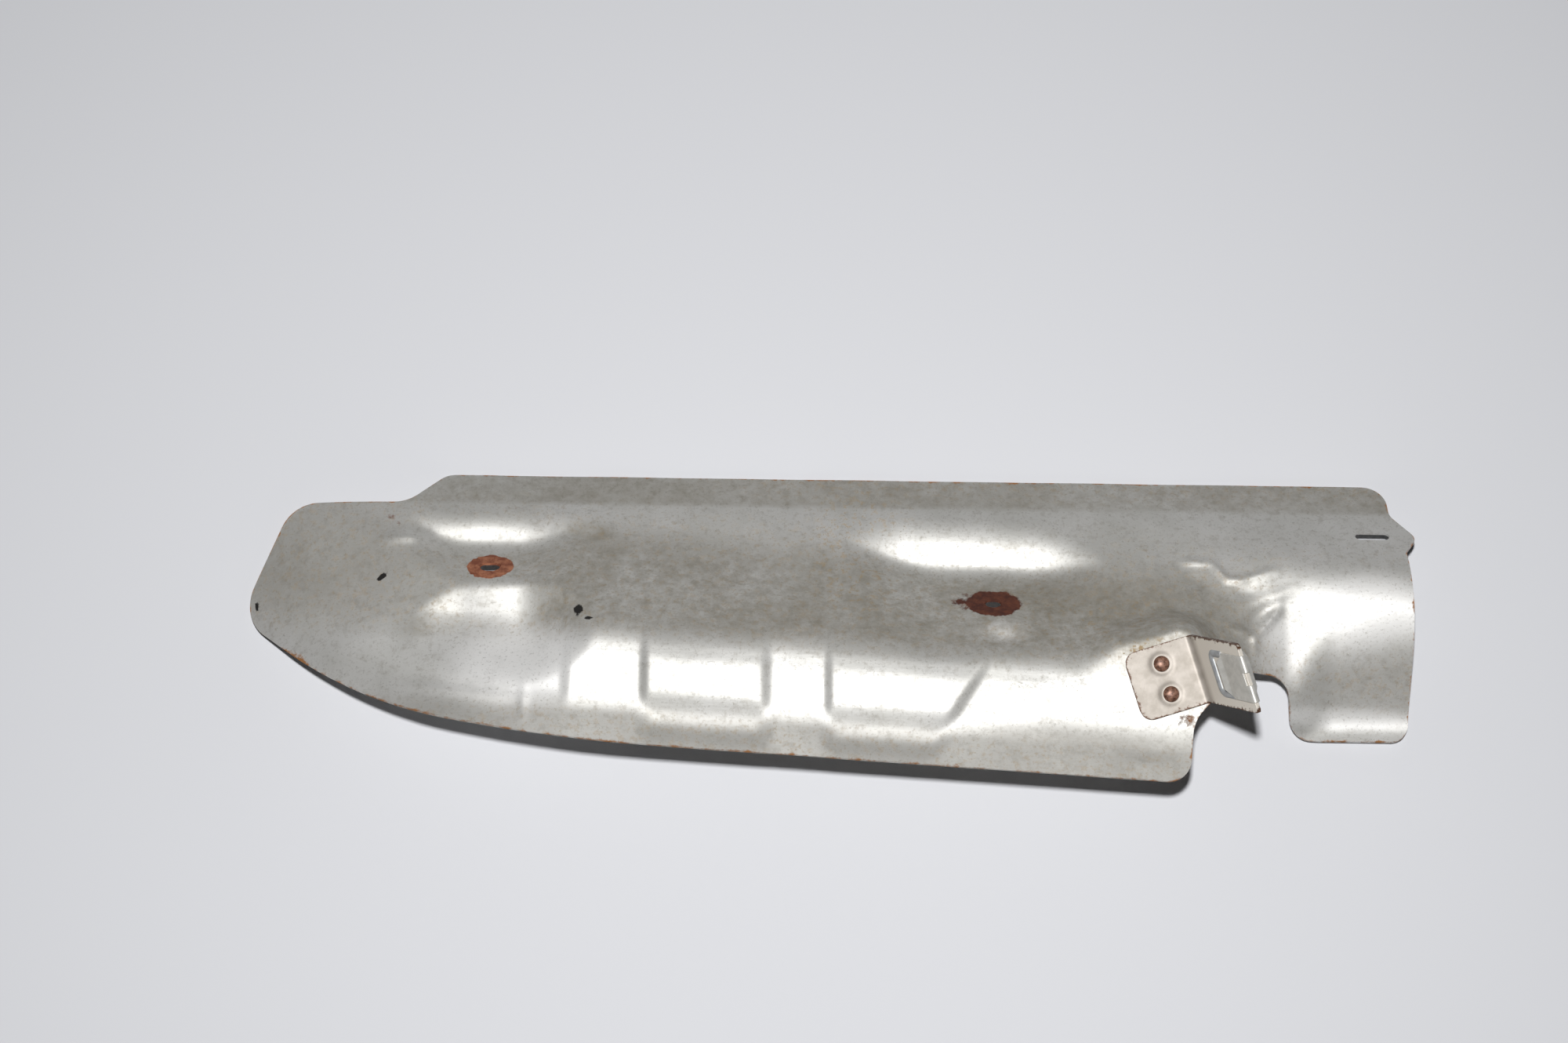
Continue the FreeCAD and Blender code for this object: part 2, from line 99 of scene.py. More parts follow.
def add(tree, kind, inputs, out=0, **settings):
    """Node of a kind with its settings; an input takes a socket or a constant; gives one output."""
    node = tree.nodes.new("ShaderNode" + kind)
    for key, value in settings.items():
        setattr(node, key, value)
    for key, value in inputs.items():
        if isinstance(value, bpy.types.NodeSocket):
            tree.links.new(value, node.inputs[key])
        else:
            node.inputs[key].default_value = value
    return node.outputs[out]


# %% [markdown]
# ## The stamped sheet: its height rule
# The real sheet is pressed between two dies, so it is one height above the ground
# for each place in plan. A modeller could push a grid about by hand, but a press
# tool is drawn from planes with rounded meetings, and the same can be written as a
# formula: each flat is a plane, `soft_min` and `soft_max` join two planes with a
# rounded bend, and `ramp` blends one region into the next. x runs along the straight
# back edge, s from that edge towards the front lip, both in millimetres.

# %% Height of the pressed form
SHEET = 1.0
HALF_LENGTH = 221.5
SKEW = 0.058                                   # the front edge runs off the back edge by this slope
SHIFT = np.array([-0.6716, 62.1530, 1.5446])   # from the press frame to the row frame
BAND, WALL, STEEP = np.tan(np.radians([32.0, 23.0, 36.5]))
BAND_END, WALL_END = 14.0, 40.0                # where the next band of the wall begins
FACE_FALL = 0.158
PAD_A, PAD_B = (-67.0, -22.3), (0.5, 48.0)     # ends of each raised pad; the last one is slanted
FOOT_X, FOOT_S, FOOT_TURN = 122.6, 87.0, math.radians(18.0)


def soft_min(a, b, soft):
    """Lower of two heights, minus a parabola where they are within soft of each other."""
    near = np.maximum(soft - np.abs(a - b), 0.0) / soft
    return np.minimum(a, b) - near * near * soft / 4.0


def soft_max(a, b, soft):
    """Higher of two heights, rounded in the same way."""
    return -soft_min(-a, -b, soft)


def ramp(value, middle, width):
    """Climb from 0 to 1 about middle over a width: 3u squared less 2u cubed."""
    u = np.clip((value - middle) / width + 0.5, 0.0, 1.0)
    return u * u * (3.0 - 2.0 * u)


def turn_up(past, half):
    """Zero before a crease, the distance past it after, a parabola over half each way."""
    bend = np.clip(past + half, 0.0, 2.0 * half) ** 2 / (4.0 * half)
    return np.where(past > half, past, bend)


def face_plane(q):
    """Height of the plane of the front face at q, the distance from the skewed back line."""
    return 44.5 - (q - 95.0) * FACE_FALL


def body_height(x, s):
    """Three wall bands, the front face with two pads, its lip and the nose end."""
    q = s - SKEW * x
    middle = BAND_END * BAND + (s - BAND_END) * WALL
    steep = BAND_END * BAND + (WALL_END - BAND_END) * WALL + (q - WALL_END) * STEEP
    wall = soft_max(soft_min(s * BAND, middle, 1.5), steep, 3.0)
    slant = x + 0.62 * (q - 95.0)
    pad_a = ramp(x, PAD_A[0], 4.0) * (1.0 - ramp(x, PAD_A[1], 5.5))
    pad_b = ramp(x, PAD_B[0], 4.0) * (1.0 - ramp(slant, PAD_B[1], 5.5))
    pads = np.maximum(pad_a, pad_b) * (1.0 - ramp(q, 100.5, 8.0))
    fore = np.clip(q - 94.0, -12.0, 11.0)
    front = face_plane(q) - np.where(fore < 0.0, 0.006, 0.004) * fore ** 2
    bulge = 4.8 * np.exp(-((x + 112.0) / 18.0) ** 2 - ((s - 71.0) / 15.0) ** 2)
    nose = 33.0 + 0.22 * (s - 65.0) + 0.25 * (x + 125.0) + bulge
    nose = nose - 0.04 * np.maximum(s - 70.0, 0.0)
    nose = soft_min(nose, front - 1.2, 5.0)
    to_lip = ramp(q, 102.0, 9.0)
    past_step = ramp(x, -96.0, 4.5) * (1.0 - to_lip) + ramp(x, -104.0, 26.0) * to_lip
    face = past_step * (front + 1.9 * pads) + (1.0 - past_step) * nose
    right_end = ramp(x, 62.0, 30.0)
    crease = 101.5 - 0.5 * right_end + 4.5 * (1.0 - ramp(x, -108.0, 26.0))
    crease = crease - 0.0031 * np.maximum(0.0, -100.0 - x) ** 2
    face = face + (0.36 - 0.02 * right_end) * turn_up(q - crease, 5.5 + 2.5 * right_end)
    valley_a = ramp(x, PAD_A[0], 9.0) * (1.0 - ramp(x, PAD_A[1], 9.0))
    valley_b = ramp(x, PAD_B[0], 9.0) * (1.0 - ramp(slant, PAD_B[1] + 2.0, 9.0))
    face = face - 1.9 * np.maximum(valley_a, valley_b) * np.exp(-((q - 109.0) / 5.0) ** 2)
    z = soft_min(wall, face, 7.5)
    return soft_min(z, (x + HALF_LENGTH + 0.5) * 0.66, 12.0)


def press_seats(z, x, s):
    """Lower of the wall and the two bolt seats: a ledge, a flat near 45 degrees, a shelf or a dimple."""
    past_top = np.maximum(s - 60.0, 0.0)
    shelf = 27.5 - (s - 50.0) * 0.12 + 0.03 * past_top ** 2
    bowl = 0.02 * np.maximum(np.abs(x + 127.4) - 9.0, 0.0) ** 2
    wing = 0.012 * np.maximum(np.abs(x + 136.0) - 19.0, 0.0) ** 2
    seat = soft_max(20.5 + s - 41.5 + bowl, 10.7 - (s - 30.0) * 0.2 + wing, 4.5)
    shelf = shelf + 0.026 * np.maximum(np.abs(x + 126.0) - 9.0, 0.0) ** 2
    z = soft_min(z, soft_min(seat, shelf, 3.0), 4.0 + 8.0 * ramp(s, 56.0, 10.0))
    bowl = 0.012 * np.maximum(np.abs(x - 58.0) - 16.0, 0.0) ** 2
    wing = np.where(x < 52.0, 0.008, 0.009) * np.maximum(np.abs(x - 52.0) - 20.0, 0.0) ** 2
    ledge = 11.2 - (s - 34.0) * 0.2 + 0.015 * (x - 55.0) + wing
    seat = soft_max(24.2 + (s - 54.0) * 0.95 + bowl, ledge, 4.5)
    dimple = 2.9 * np.exp(-((x - 65.0) / 8.0) ** 2 - ((s - 70.0) / 3.8) ** 2)
    return soft_min(z, seat, 4.5) - dimple


def foot_place(x, s):
    """Distances along and across the bracket foot, which is turned by FOOT_TURN."""
    c, n = math.cos(FOOT_TURN), math.sin(FOOT_TURN)
    dx, dy = x - FOOT_X, FOOT_S - s
    return dx * c + dy * n, dy * c - dx * n


def pressed_height(x, s):
    """Body blended into the half-round tail, then into the flat under the foot."""
    z = press_seats(body_height(x, s), x, s)
    flare = 12.0 * (1.0 - ramp(x, 181.0, 22.0))
    crest = 23.6 - (s - 52.0) * 0.2 + 0.1 * np.clip(x - 192.0, -20.0, 40.0)
    shell = soft_min(0.62 * s, crest, 9.0)
    shell = soft_min(shell, (94.0 + flare - s) * 0.8, 7.0)
    tail = soft_max(shell, (s - 91.4) * 0.35 - 0.5, 6.0)
    to_tail = ramp(x, 155.0, 42.0)
    z = (1.0 - to_tail) * z + to_tail * tail
    along, across = foot_place(x, s)
    past = np.hypot(np.maximum(np.abs(along) - 10.0, 0.0), np.maximum(np.abs(across) - 10.8, 0.0))
    flat = 1.0 - ramp(past, 11.0, 15.0)
    return (1.0 - flat) * z + flat * face_plane(s - SKEW * x)


# %% [markdown]
# ## Dents and wrinkles
# Years of handling left the sheet less regular than the die: where the body narrows
# into the tail it has buckled into short folds, the wall shows the faint marks of
# the press, and the flats are slightly wavy. Each fold is a ridge along a short
# line, so one function of the distance from that line draws them all. They are kept
# out of the way of the flat under the foot.

# %% Folds, press marks and waviness
def ridge(x, s, start, end, width, rise):
    """Bump of the given rise on the segment start to end: a bell of the distance from it."""
    ax, ay = start
    bx, by = end[0] - ax, end[1] - ay
    t = np.clip(((x - ax) * bx + (s - ay) * by) / (bx * bx + by * by), 0.0, 1.0)
    gap = np.hypot(x - ax - t * bx, s - ay - t * by) / width
    ends = 0.35 + 0.65 * np.sin(np.pi * np.clip(t, 0.02, 0.98)) ** 0.7
    return rise * ends * np.exp(-gap * gap)


FOLDS = [
    ((134.5, 35.3), (145.0, 35.6), 1.3, 0.9),
    ((145.0, 35.8), (150.0, 42.6), 1.3, 1.2),
    ((150.0, 42.8), (156.0, 43.2), 1.3, 1.1),
    ((156.0, 43.2), (168.6, 39.0), 1.4, 0.8),
    ((136.0, 41.0), (143.0, 47.0), 4.0, -0.8),
    ((152.0, 49.0), (162.0, 47.0), 3.2, -0.9),
    ((169.5, 54.5), (160.0, 66.0), 1.5, 1.5),
    ((160.0, 66.0), (159.5, 74.0), 1.6, 1.2),
    ((159.5, 65.5), (150.5, 62.5), 1.5, 1.0),
    ((166.0, 52.5), (157.0, 61.0), 2.6, -1.3),
    ((157.0, 68.5), (152.0, 70.0), 2.4, -0.8),
    ((163.0, 52.0), (175.0, 46.5), 2.4, 0.7),
    ((-146.0, 1.6), (-127.0, 1.4), 1.7, 0.6),
    ((-143.5, 6.6), (-133.5, 7.4), 1.5, 0.6),
    ((-121.0, 7.3), (-112.5, 7.4), 1.5, 0.55),
    ((-168.0, 29.4), (-152.0, 28.4), 2.4, 1.4),
    ((-112.0, 13.6), (-86.0, 21.5), 4.5, 0.9),
    ((-104.0, 25.0), (-86.0, 31.5), 4.2, -0.8),
    ((-154.1, 89.8), (-111.4, 96.3), 2.0, 0.45),
    ((-111.2, 90.0), (-110.8, 103.0), 1.6, 0.5),
    ((-62.4, 13.0), (-61.9, 35.0), 1.6, 0.35),
    ((-31.0, 12.5), (-30.8, 34.0), 1.6, 0.3),
    ((5.1, 12.0), (5.1, 33.5), 1.6, 0.38),
    ((32.6, 11.5), (32.5, 33.0), 1.6, 0.25),
    ((122.0, 30.0), (124.0, 45.0), 2.0, 0.3),
]


def worn_height(x, s):
    """Pressed form, plus each fold, plus three slow waves, a third of a millimetre in all."""
    z = pressed_height(x, s)
    along, across = foot_place(x, s)
    free = ramp(np.maximum(np.abs(along) - 13.0, np.abs(across) - 13.8), 3.0, 6.0)
    extra = 0.0 * x
    for start, end, width, rise in FOLDS:
        extra = extra + ridge(x, s, start, end, width, rise)
    wave = 0.14 * np.sin(x / 7.3 + s / 11.0) + 0.12 * np.sin(x / 13.1 - s / 6.1 + 1.0)
    wave = wave + 0.1 * np.sin(x / 4.9 + 2.0) * np.sin(s / 5.7)
    return z + free * (extra + wave)


print("height at the middle of the front face:", round(float(pressed_height(0.0, 90.0)), 1), "mm")

# %% [markdown]
# ## The sheet's outline and mesh
# The blank is cut with rounded corners, a notch near the tail and three holes. The
# outline is a list of corners with radii; every corner becomes an arc. A regular
# field of points fills the inside, and a constrained triangulation joins it to the
# outline, so edges stay exact where a plain grid would give steps. The upper skin is
# lifted by the height rule, the lower one lies a sheet thickness below it along the
# normals, and a rim closes the edges.

# %% Outline, holes and both skins
CORNERS = [
    (-147.5, 0.0, 8.0), (-161.5, 13.0, 13.0), (-206.5, 12.8, 15.0), (-224.5, 58.0, 17.0),
    (-172.0, 97.0, 170.0), (-95.0, 111.6, 400.0), (131.6, 124.8, 9.0), (133.6, 101.5, 14.0),
    (154.5, 79.2, 12.0), (172.8, 79.0, 8.0), (175.6, 100.4, 8.5), (220.5, 100.4, 7.0),
    (218.9, 30.4, 1.5), (223.9, 24.4, 3.5), (215.0, 13.6, 5.0), (215.0, 0.0, 8.5),
]


def rounded_outline(corners, spacing):
    """Closed loop: an arc tangent to both sides at each corner, evenly resampled."""
    points = np.array([(x, s) for x, s, radius in corners])
    loop = []
    for i, (x, s, radius) in enumerate(corners):
        back = points[i - 1] - points[i]
        on = points[(i + 1) % len(points)] - points[i]
        back, on = back / np.linalg.norm(back), on / np.linalg.norm(on)
        half = math.acos(float(back @ on)) / 2.0
        middle = (back + on) / np.linalg.norm(back + on)
        centre = points[i] + middle * radius / math.sin(half)
        sweep = np.linspace(half - math.pi / 2.0, math.pi / 2.0 - half, 24)[:, None]
        handed = np.sign(middle[0] * on[1] - middle[1] * on[0])
        side = np.array([-middle[1], middle[0]]) * handed
        loop.append(centre - radius * (np.cos(sweep) * middle - np.sin(sweep) * side))
    loop = np.vstack(loop + [loop[0][:1]])
    length = np.concatenate([[0.0], np.cumsum(np.linalg.norm(np.diff(loop, axis=0), axis=1))])
    at = np.linspace(0.0, length[-1], int(length[-1] / spacing), endpoint=False)
    return np.column_stack([np.interp(at, length, loop[:, k]) for k in (0, 1)])


def hole_loop(x, s, length, width, slope, count, ragged):
    """Long or round hole seen from above on a face of this slope, with a ragged rim."""
    turn = np.linspace(0.0, 2.0 * math.pi, count, endpoint=False)
    flat = (length - width) / 2.0
    rim = 1.0 - ragged * (0.5 + 0.3 * np.sin(3.0 * turn) + 0.2 * np.sin(7.0 * turn + 1.0))
    across = width / 2.0 * np.cos(turn) * rim + flat * np.sign(np.cos(turn))
    along = width / 2.0 * np.sin(turn) * rim / math.sqrt(1.0 + slope * slope)
    return np.column_stack([x + across, s + along])


GRID = 1.15          # millimetres between the points of the field
edge_loop = rounded_outline(CORNERS, 1.2)
NOSE_HOLE = (-127.4, 41.5)
MID_HOLE = (62.0, 54.0)
loops = [
    edge_loop,
    hole_loop(*NOSE_HOLE, 8.4, 6.4, 1.0, 40, 0.16),
    hole_loop(*MID_HOLE, 6.4, 5.6, 1.0, 36, 0.1),
    hole_loop(207.0, 23.4, 13.0, 3.8, 0.62, 40, 0.0),
]


def inside(points, loop):
    """Even-odd rule for all points at once: count the loop's sides to the right."""
    x, s = points[:, 0:1], points[:, 1:2]
    a, b = loop, np.roll(loop, -1, axis=0)
    spans = (a[:, 1] > s) != (b[:, 1] > s)
    cross = a[:, 0] + (s - a[:, 1]) * (b[:, 0] - a[:, 0]) / (b[:, 1] - a[:, 1] + 1e-12)
    return (np.sum(spans & (x < cross), axis=1) % 2) == 1


def clearance(points, loop):
    """Distance of every point from the nearest point of a loop, in slices of the loop."""
    best = np.full(len(points), 1e9)
    for part in np.array_split(loop, max(1, len(loop) // 60)):
        gaps = np.linalg.norm(points[:, None, :] - part[None, :, :], axis=2)
        best = np.minimum(best, gaps.min(axis=1))
    return best


gx, gs = np.meshgrid(np.arange(-226.0, 226.0, GRID), np.arange(-1.0, 127.0, GRID))
gx[1::2] += GRID / 2.0
field = np.column_stack([gx.ravel(), gs.ravel()])
field = field[inside(field, edge_loop)]
keep = clearance(field, edge_loop) > 0.55 * GRID
for loop in loops[1:]:
    keep &= ~inside(field, loop) & (clearance(field, loop) > 0.5 * GRID)
field = field[keep]
starts = np.cumsum([0] + [len(loop) for loop in loops])
chains = [np.column_stack([np.arange(a, b), np.roll(np.arange(a, b), -1)])
          for a, b in zip(starts[:-1], starts[1:])]
flat_points = np.vstack(loops + [field])
result = delaunay_2d_cdt(flat_points.tolist(), np.vstack(chains).tolist(), [], 0, 1e-6)
plan = np.array([tuple(p) for p in result[0]])
triangles = np.array(result[2])
middles = plan[triangles].mean(axis=1)
used = inside(middles, edge_loop)
for loop in loops[1:]:
    used &= ~inside(middles, loop)
triangles = triangles[used]
to_second = plan[triangles[:, 1]] - plan[triangles[:, 0]]
to_third = plan[triangles[:, 2]] - plan[triangles[:, 0]]
double_area = to_second[:, 0] * to_third[:, 1] - to_second[:, 1] * to_third[:, 0]
facing_down = double_area > 0.0
triangles[facing_down] = triangles[facing_down][:, ::-1]
triangles = triangles[np.abs(double_area) > 1e-4]     # leaves out slivers along the straight edge
print("sheet:", len(plan), "points,", len(triangles), "triangles on each skin")

# %% Both skins and the rim as one mesh
def to_row(x, s, z):
    """Plan millimetres to the row frame in metres: y is minus s, then the shift."""
    return (np.column_stack([x, -s, z]) + SHIFT) / 1000.0


px, ps = plan[:, 0], plan[:, 1]
step = 0.4
slope_x = (worn_height(px + step, ps) - worn_height(px - step, ps)) / (2.0 * step)
slope_s = (worn_height(px, ps + step) - worn_height(px, ps - step)) / (2.0 * step)
normal = np.column_stack([-slope_x, slope_s, np.ones_like(px)])
normal /= np.linalg.norm(normal, axis=1)[:, None]
upper = to_row(px, ps, worn_height(px, ps))
lower = upper - normal * SHEET / 1000.0
directed = np.vstack([triangles[:, [0, 1]], triangles[:, [1, 2]], triangles[:, [2, 0]]])
sides = np.sort(directed, axis=1)
_, first, count = np.unique(sides, axis=0, return_index=True, return_counts=True)
rim = directed[first[count == 1]]
shift_index = len(plan)
rim_faces = np.column_stack([rim[:, 1], rim[:, 0], rim[:, 0] + shift_index, rim[:, 1] + shift_index])
faces = triangles.tolist() + (triangles[:, ::-1] + shift_index).tolist() + rim_faces.tolist()
panel = sheet_object("shield_panel_skin", np.vstack([upper, lower]).tolist(), faces, 50.0)
print("sheet mesh:", len(panel.data.polygons), "faces")

# %% [markdown]
# ## Where the sheet is rusty and stained, and where light and shade are painted
# Rust starts where the coating is broken: round the bolt holes and along the cut edge.
# Dirt settles on the sloping wall, and the front face stays clean. The lit ledges and the tail crest are
# kept free of dirt, partly a clean coating and partly painted highlight. A few places on the nose, the
# tail and below the middle hole are painted near white: painted highlights. The lip is painted darker and
# rougher, partly a duller coating and partly painted shade. The lower skin is painted dark, partly soot
# and partly painted shade under the sheet. A few thin near-black streaks lie on the nose. These are
# smooth fields over the sheet, worked out from distances to places and edges, and stored as attributes.
# The material breaks them up with noise, so that their borders look eaten away and not airbrushed.

# %% Fields of rust and dirt as attributes
def patch(x, s, place, size, soft):
    """1 inside an ellipse about place with half sizes size, falling to 0 over soft."""
    far = np.hypot((x - place[0]) / size[0], (s - place[1]) / size[1])
    return 1.0 - ramp(far, 1.0, soft)


def spot(strength, place, size, soft):
    """Patch of a strength on the points of the sheet."""
    return strength * patch(px, ps, place, size, soft)


def streak(start, end, width):
    """1 on a short line of the sheet, falling off as a bell of this width."""
    return ridge(px, ps, start, end, width, 1.0)


def strongest(*fields):
    """The highest of several fields at each point."""
    return np.maximum.reduce(fields)


edge_near = clearance(plan, edge_loop)
q = ps - SKEW * px
foot_u, foot_v = foot_place(px, ps)
right_part = ramp(px, 60.0, 50.0)
nose_far = np.hypot(px - NOSE_HOLE[0], (ps - NOSE_HOLE[1]) * 1.5)
ring = 1.0 - ramp(np.abs(nose_far - 5.6), 3.2, 1.3)
rust = strongest(
    0.5 * np.exp(-edge_near / 1.1),
    spot(0.62, (-200.0, 78.0), (26.0, 14.0), 0.9) * np.exp(-edge_near / 2.6),
    spot(0.95, MID_HOLE, (10.8, 6.3), 0.55),
    spot(0.6, (52.0, 53.0), (6.0, 4.5), 0.9),
    spot(0.45, (130.5, 103.0), (4.5, 4.0), 0.9),
    0.55 * streak((-169.0, 18.0), (-162.5, 24.0), 2.2),
)
on_wall = ramp(q, 34.0, 26.0) * (1.0 - ramp(q, 74.0, 16.0)) * (1.0 - 0.6 * ramp(px, 150.0, 40.0))
grime = strongest(
    on_wall * (0.35 + 0.65 * ramp(px, -110.0, 40.0)),
    spot(0.4, (112.0, 62.0), (24.0, 9.0), 1.2),
    spot(0.9, (-92.0, 27.0), (13.0, 5.0), 1.2),
    spot(0.6, (-152.0, 66.0), (5.0, 4.0), 1.2),
    0.7 * (1.0 - ramp(ps, 13.0, 3.0)),
)
tan_dirt = strongest(
    spot(0.75, (12.0, 35.0), (20.0, 34.0), 1.0),
    0.5 * (1.0 - ramp(ps, 8.0, 14.0)) * ramp(px, -40.0, 60.0),
    spot(0.6, (110.0, 62.0), (24.0, 12.0), 1.0),
    1.2 * patch(foot_u, foot_v, (-5.0, 13.6), (8.0, 2.4), 0.9),
    0.4 * ramp(q, 20.0, 20.0) * (1.0 - ramp(q, 76.0, 14.0)),
    0.4 * ramp(q, 106.0, 10.0),
)
# partly painted highlight: dirt is taken off the lit nose ledges, the middle ledge and the tail crest;
# partly a clean coating
clean_and_lit = strongest(
    spot(1.0, (-132.0, 27.0), (36.0, 8.0), 0.6),
    spot(1.0, (-124.0, 56.0), (16.0, 9.0), 0.6),
    spot(1.0, (58.0, 31.0), (46.0, 11.0), 0.6),
    spot(1.0, (196.0, 54.0), (36.0, 20.0), 0.6),
)
# painted highlights: near-white patches on the nose bulge, the tail crest, below the middle hole and on
# the tail's front
pale = strongest(
    spot(0.95, (-114.0, 82.0), (26.0, 17.0), 0.9),
    spot(0.8, (203.0, 54.0), (24.0, 13.0), 0.7),
    spot(0.9, (65.0, 67.0), (10.0, 4.5), 0.8),
    spot(0.8, (169.0, 70.0), (10.0, 12.0), 0.8),
    spot(0.7, (198.0, 92.0), (26.0, 4.0), 0.8),
)
# partly painted shade: the lip, most of all its right part, is laid darker and rougher to damp the light
# on it; partly a duller coating
dull_and_shade = strongest(
    (0.75 + 0.25 * right_part) * ramp(q, 104.0 - 5.0 * right_part, 9.0),
    spot(0.6, (-196.0, 32.0), (30.0, 22.0), 0.9),
)
# thin near-black streaks, one on the nose step
dark_streaks = strongest(
    streak((-92.4, 59.6), (-92.2, 63.8), 2.1),
    streak((-90.0, 65.2), (-86.5, 66.2), 1.1),
    streak((-170.4, 47.0), (-166.4, 44.0), 1.3),
    streak((-218.2, 52.0), (-217.6, 56.0), 0.9),
)
FIELDS = {
    "rust": rust,
    "ring": ring,
    "grime": grime * (1.0 - 0.8 * clean_and_lit),
    "tan_dirt": tan_dirt * (1.0 - 0.9 * clean_and_lit),
    "dark_streaks": dark_streaks,
    "pale": pale,
    "dull_and_shade": dull_and_shade,
    "fresh": np.exp(-edge_near / 4.0),
}
for name, values in FIELDS.items():
    layer = panel.data.attributes.new(name, "FLOAT", "POINT")
    layer.data.foreach_set("value", np.tile(values, 2).astype(np.float32))
# partly painted shade: the lower skin is laid dark, partly as soot and partly to darken the shadow under
# the sheet
heat = panel.data.attributes.new("heat", "FLOAT", "POINT")     # 1 on the lower skin: partly soot by the hot pipe, partly painted shade
heat.data.foreach_set("value", np.repeat([0.0, 1.0], len(plan)).astype(np.float32))
print("fields on the sheet:", [a.name for a in panel.data.attributes if a.data_type == "FLOAT"])

# %% [markdown]
# ## Aluminised steel, rolled and pressed
# The sheet was dipped in aluminium and rolled, so it is a bright metal with a soft, slightly streaky
# gloss that heat and weather have dulled. The eye sees a pale grey that glows where it faces the light
# and goes to mid grey on the slopes, fine mottling a few millimetres across, tan dirt and brown rust. The
# colours also hold painted light: near-white painted highlights, painted shade along the lip, and a dark
# underside that is partly soot and partly painted shade.
# Metal and dirt differ in colour and in how they reflect, so each layer below brings
# its own colour, metallic and roughness, and a mask of a field and a noise lays it
# over the layers before it. Soft layers are thin films. Eaten layers add the noise to
# the field, which gives them a ragged border.

# %% Material of the sheet
RGBA = {"out": 2, "data_type": "RGBA"}
# each noise: size in millimetres, detail
GRAINS = {"grain": (1.1, 4.0), "specks": (2.2, 3.0), "fine": (3.0, 8.0), "ragged": (5.0, 8.0),
          "broad": (24.0, 6.0), "wide": (70.0, 5.0)}
# field, noise, where the noise starts and ends to show, share, colour, metallic, roughness
SOFT_LAYERS = [
    (None, "broad", 0.35, 0.68, 1.0, "#e4e3e0", 0.55, 0.55),
    (None, "fine", 0.5, 0.66, 0.5, "#aeaaa1", 0.55, 0.6),
    # painted highlight: the pale field lays a near-white, less metallic colour on the lit patches
    ("pale", "broad", 0.15, 0.45, 0.95, "#f4f3f1", 0.18, 0.5),
    (None, "grain", 0.56, 0.68, 0.35, "#7a756a", 0.45, 0.6),
    # darker, rougher layer on the lip: partly a duller coating, partly painted shade
    ("dull_and_shade", "broad", 0.1, 0.5, 0.65, "#a19e97", 0.5, 0.72),
    ("grime", "wide", 0.42, 0.56, 0.35, "#8d8675", 0.5, 0.6),
    ("grime", "broad", 0.4, 0.62, 0.4, "#8d8675", 0.5, 0.6),
    ("grime", "ragged", 0.36, 0.64, 0.5, "#8a816f", 0.45, 0.66),
    ("tan_dirt", "specks", 0.52, 0.64, 0.7, "#a98f66", 0.15, 0.75),
    # dark lower skin: partly soot, partly painted shade that darkens the shadow beneath
    ("heat", "broad", 0.0, 0.3, 0.85, "#4c4843", 0.4, 0.6),
]
# field, noise, gain of the noise, where the sum starts and ends, dark, light, metallic, roughness
EATEN_LAYERS = [
    ("rust", "ragged", 1.5, 1.17, 1.37, "#482217", "#6e3c27", 0.0, 0.8),
    ("ring", "ragged", 0.9, 0.8, 1.05, "#7d452f", "#bb7d5c", 0.0, 0.75),
    # near-black streaks
    ("dark_streaks", "fine", 1.0, 0.95, 1.1, "#161412", "#1d1a17", 0.0, 0.85),
]


